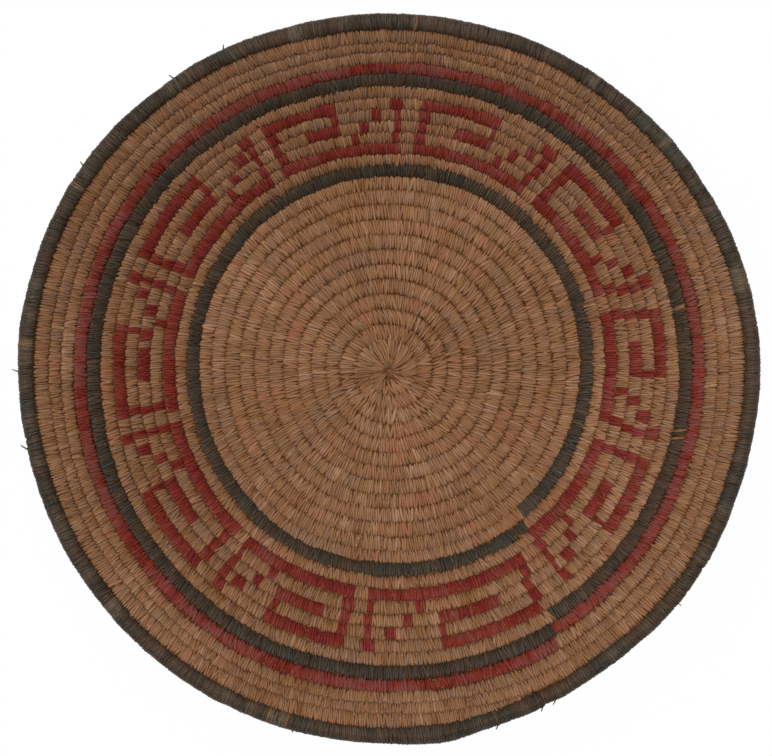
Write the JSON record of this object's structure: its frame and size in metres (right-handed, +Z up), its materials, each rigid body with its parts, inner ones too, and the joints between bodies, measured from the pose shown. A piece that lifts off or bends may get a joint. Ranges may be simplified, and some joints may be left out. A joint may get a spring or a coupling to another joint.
{
  "type": "navajo wedding basket",
  "caption": "Shallow coiled bowl basket with a flat floor, flared wall and dark rim, sewn in natural, dark and red splints with a banded fret.",
  "frame": {"origin": "middle of the underside, on the plane the floor coils rest on", "axes": "+Z up out of the bowl; -Y towards the viewer of the picture's lower edge"},
  "size_m": [0.3544, 0.3574, 0.0665],
  "materials": {
    "natural_splint": "satin split and scraped shoot, sewn close",
    "dark_splint": "matte dyed splint, brownish black",
    "red_splint": "matte dyed splint, crimson to maroon",
    "foundation_rod": "peeled rods, hidden in the coil"
  },
  "bodies": {
    "root": {"start_knot": "natural_splint", "centre_coil": "natural_splint", "inner_dark_ring": "dark_splint", "inner_natural_ring": "natural_splint", "fret_row_1": "red_splint", "fret_row_2": "natural_splint", "fret_row_3": "natural_splint", "fret_row_4": "natural_splint", "fret_row_5": "natural_splint", "outer_natural_ring": "natural_splint", "outer_dark_ring": "dark_splint", "red_ring": "red_splint", "border_coil_1": "natural_splint", "border_coil_2": "natural_splint", "border_coil_3": "natural_splint", "rim_coil": "dark_splint", "foundation_1": "foundation_rod", "foundation_2": "foundation_rod", "foundation_3": "foundation_rod", "foundation_4": "foundation_rod"}
  },
  "joints": []
}
